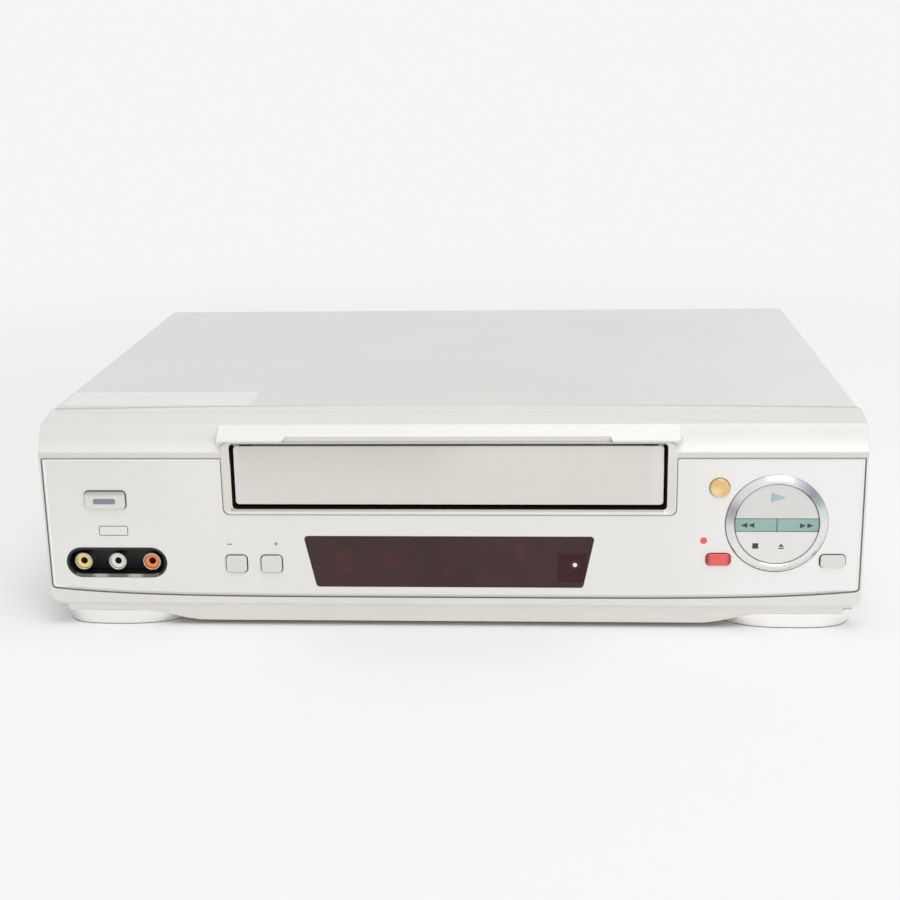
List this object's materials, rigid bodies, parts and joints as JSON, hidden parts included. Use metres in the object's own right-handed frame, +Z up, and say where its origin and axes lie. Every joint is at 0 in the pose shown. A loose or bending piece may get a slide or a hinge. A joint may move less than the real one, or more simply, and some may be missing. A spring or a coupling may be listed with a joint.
{
  "type": "video cassette recorder",
  "caption": "Free-standing video cassette recorder with a steel cover, moulded front, swinging cassette door, dial keys, phono jacks and a working tape deck inside.",
  "frame": {"origin": "middle of the bounding box, on the surface that the recorder stands on", "axes": "+X to the right seen from the front, +Y from the front to the back, +Z up"},
  "size_m": [0.38, 0.2782, 0.101],
  "materials": {
    "cover_paint": "fine satin silver",
    "bezel_plastic": "metallic champagne",
    "fascia_paint": "cool metallic silver",
    "door_paint": "brushed champagne",
    "window_dark": "dark smoked",
    "ring_chrome": "satin chrome",
    "key_silver": "satin",
    "dial_silver": "satin",
    "key_teal": "translucent grey teal",
    "key_gold": "pearl gold",
    "key_red": "pearl red",
    "lens_blue": "smoked blue",
    "black_plastic": "moulded black",
    "jack_metal": "bright nickel",
    "insert_yellow": "gloss",
    "insert_white": "gloss",
    "insert_red": "gloss",
    "foot_gloss": "silver gloss",
    "foot_rubber": "soft black",
    "screw_steel": "zinc plated",
    "spring_steel": "drawn wire",
    "board_green": "solder resist",
    "component_black": "moulded black",
    "tube_glass": "clear",
    "pan_steel": "zinc plated",
    "coil_tape": "yellow tape",
    "can_tin": "tin plated",
    "drum_alloy": "turned and polished",
    "motor_steel": "plated",
    "roller_rubber": "ground",
    "reel_white": "natural acetal",
    "gear_ivory": "natural acetal",
    "head_metal": "plated",
    "carriage_steel": "zinc plated"
  },
  "bodies": {
    "casing": {"top_cover": "cover_paint", "base_pan": "pan_steel", "rear_panel": "pan_steel", "front_bezel": "bezel_plastic", "front_fascia": "fascia_paint", "door_spring": "spring_steel", "display_window": "window_dark", "dial_ring": "ring_chrome", "front_jack_housing": "black_plastic", "jack_shells": "jack_metal", "video_jack_insert": "insert_yellow", "audio_left_jack_insert": "insert_white", "audio_right_jack_insert": "insert_red", "front_feet": "foot_gloss", "rear_feet": "foot_rubber", "screws": "screw_steel", "front_board": "board_green", "key_switches": "component_black", "display_tube": "tube_glass", "main_board": "board_green", "board_components": "component_black", "power_board": "board_green", "power_transformer": "coil_tape", "tuner_can": "can_tin", "rear_jack_block": "black_plastic", "mains_gland": "black_plastic", "deck_chassis": "pan_steel", "lower_drum": "drum_alloy", "capstan_motor": "motor_steel", "drive_belt": "roller_rubber", "loading_motor": "motor_steel", "fixed_heads": "head_metal", "carriage_frame": "carriage_steel"},
    "door": {"cassette_door": "door_paint"},
    "power_key": {"power_button": "key_silver", "power_lamp_lens": "lens_blue"},
    "channel_down_key": {"channel_down_button": "key_silver"},
    "channel_up_key": {"channel_up_button": "key_silver"},
    "quick_play_key": {"quick_play_button": "key_gold"},
    "record_key": {"record_button": "key_red"},
    "pause_key": {"pause_button": "key_silver"},
    "play_key": {"play_button": "dial_silver"},
    "rewind_key": {"rewind_button": "key_teal"},
    "fast_forward_key": {"fast_forward_button": "key_teal"},
    "stop_eject_key": {"stop_eject_button": "dial_silver"},
    "slides": {"lift_slides": "carriage_steel"},
    "holder": {"cassette_holder": "carriage_steel"},
    "drum": {"upper_drum": "drum_alloy"},
    "capstan": {"capstan_flywheel": "motor_steel"},
    "clutch": {"clutch_pulley": "gear_ivory"},
    "pinch": {"pinch_arm": "carriage_steel"},
    "roller": {"pinch_roller": "roller_rubber"},
    "supply_hub": {"supply_reel": "reel_white"},
    "take_up_hub": {"take_up_reel": "reel_white"},
    "idler_lever": {"idler_arm": "gear_ivory"},
    "idler_wheel": {"idler_gear": "gear_ivory"},
    "worm": {"worm_gear": "gear_ivory"},
    "cam": {"cam_gear": "reel_white"},
    "guide_left": {"supply_guide": "head_metal"},
    "guide_right": {"take_up_guide": "head_metal"}
  },
  "joints": [
    {"name": "power_press", "type": "slide", "parent": "casing", "child": "power_key", "axis": [0, 1, 0], "range_m": [0, 0.001], "stiffness_N_per_m": 500, "springref_m": -0.0005},
    {"name": "channel_down_press", "type": "slide", "parent": "casing", "child": "channel_down_key", "axis": [0, 1, 0], "range_m": [0, 0.001], "stiffness_N_per_m": 500, "springref_m": -0.0005},
    {"name": "channel_up_press", "type": "slide", "parent": "casing", "child": "channel_up_key", "axis": [0, 1, 0], "range_m": [0, 0.001], "stiffness_N_per_m": 500, "springref_m": -0.0005},
    {"name": "quick_play_press", "type": "slide", "parent": "casing", "child": "quick_play_key", "axis": [0, 1, 0], "range_m": [0, 0.001], "stiffness_N_per_m": 500, "springref_m": -0.0005},
    {"name": "record_press", "type": "slide", "parent": "casing", "child": "record_key", "axis": [0, 1, 0], "range_m": [0, 0.001], "stiffness_N_per_m": 500, "springref_m": -0.0005},
    {"name": "pause_press", "type": "slide", "parent": "casing", "child": "pause_key", "axis": [0, 1, 0], "range_m": [0, 0.001], "stiffness_N_per_m": 500, "springref_m": -0.0005},
    {"name": "play_press", "type": "slide", "parent": "casing", "child": "play_key", "axis": [0, 1, 0], "range_m": [0, 0.001], "stiffness_N_per_m": 500, "springref_m": -0.0005},
    {"name": "stop_eject_press", "type": "slide", "parent": "casing", "child": "stop_eject_key", "axis": [0, 1, 0], "range_m": [0, 0.001], "stiffness_N_per_m": 500, "springref_m": -0.0005},
    {"name": "rewind_press", "type": "slide", "parent": "casing", "child": "rewind_key", "axis": [0, 1, 0], "range_m": [0, 0.001], "stiffness_N_per_m": 500, "springref_m": -0.0005},
    {"name": "fast_forward_press", "type": "slide", "parent": "casing", "child": "fast_forward_key", "axis": [0, 1, 0], "range_m": [0, 0.001], "stiffness_N_per_m": 500, "springref_m": -0.0005},
    {"name": "door_swing", "type": "hinge", "parent": "casing", "child": "door", "pos_m": [0, -0.13405, 0.0893], "axis": [1, 0, 0], "range_deg": [0, 86], "stiffness_Nm_per_rad": 0.004, "springref_deg": -20.05},
    {"name": "carriage_in", "type": "slide", "parent": "casing", "child": "slides", "axis": [0, 1, 0], "range_m": [0, 0.055]},
    {"name": "carriage_down", "type": "slide", "parent": "slides", "child": "holder", "axis": [0, 0, -1], "range_m": [0, 0.022]},
    {"name": "drum_spin", "type": "hinge", "parent": "casing", "child": "drum", "pos_m": [0, 0.07455, 0.0552], "axis": [0, -0.1038, 0.9946], "continuous": true},
    {"name": "capstan_spin", "type": "hinge", "parent": "casing", "child": "capstan", "pos_m": [0.056, 0.03455, 0.03], "axis": [0, 0, 1], "continuous": true},
    {"name": "clutch_spin", "type": "hinge", "parent": "casing", "child": "clutch", "pos_m": [0, 0.01255, 0.016], "axis": [0, 0, 1], "continuous": true},
    {"name": "supply_spin", "type": "hinge", "parent": "casing", "child": "supply_hub", "pos_m": [-0.046, -0.03245, 0.033], "axis": [0, 0, 1], "continuous": true},
    {"name": "take_up_spin", "type": "hinge", "parent": "casing", "child": "take_up_hub", "pos_m": [0.046, -0.03245, 0.033], "axis": [0, 0, 1], "continuous": true},
    {"name": "idler_swing", "type": "hinge", "parent": "casing", "child": "idler_lever", "pos_m": [0, 0.01255, 0.04], "axis": [0, 0, 1], "range_deg": [-19, 19]},
    {"name": "idler_spin", "type": "hinge", "parent": "idler_lever", "child": "idler_wheel", "pos_m": [0, -0.02745, 0.036], "axis": [0, 0, 1], "continuous": true},
    {"name": "cam_turn", "type": "hinge", "parent": "casing", "child": "cam", "pos_m": [-0.072, 0.08455, 0.04], "axis": [0, 0, 1], "range_deg": [0, 300]},
    {"name": "worm_spin", "type": "hinge", "parent": "casing", "child": "worm", "pos_m": [-0.072, 0.1133, 0.0412], "axis": [1, 0, 0], "range_deg": [0, 14400]},
    {"name": "supply_guide_slide", "type": "slide", "parent": "casing", "child": "guide_left", "axis": [-0.2747, 0.9615, 0], "range_m": [0, 0.0437]},
    {"name": "take_up_guide_slide", "type": "slide", "parent": "casing", "child": "guide_right", "axis": [0.2747, 0.9615, 0], "range_m": [0, 0.0437]},
    {"name": "pinch_swing", "type": "hinge", "parent": "casing", "child": "pinch", "pos_m": [0.084, 0.04055, 0.035], "axis": [0, 0, 1], "range_deg": [0, 35.1]},
    {"name": "roller_spin", "type": "hinge", "parent": "pinch", "child": "roller", "pos_m": [0.06661, 0.05621, 0.044], "axis": [0, 0, 1], "continuous": true}
  ],
  "couplings": [
    {"joint": "clutch_spin", "follows": "capstan_spin", "ratio": 0.46429},
    {"joint": "worm_spin", "follows": "cam_turn", "ratio": 48},
    {"joint": "supply_guide_slide", "follows": "cam_turn", "m_per_rad": 0.0083424},
    {"joint": "take_up_guide_slide", "follows": "cam_turn", "m_per_rad": 0.0083424},
    {"joint": "pinch_swing", "follows": "cam_turn", "ratio": 0.11667}
  ]
}
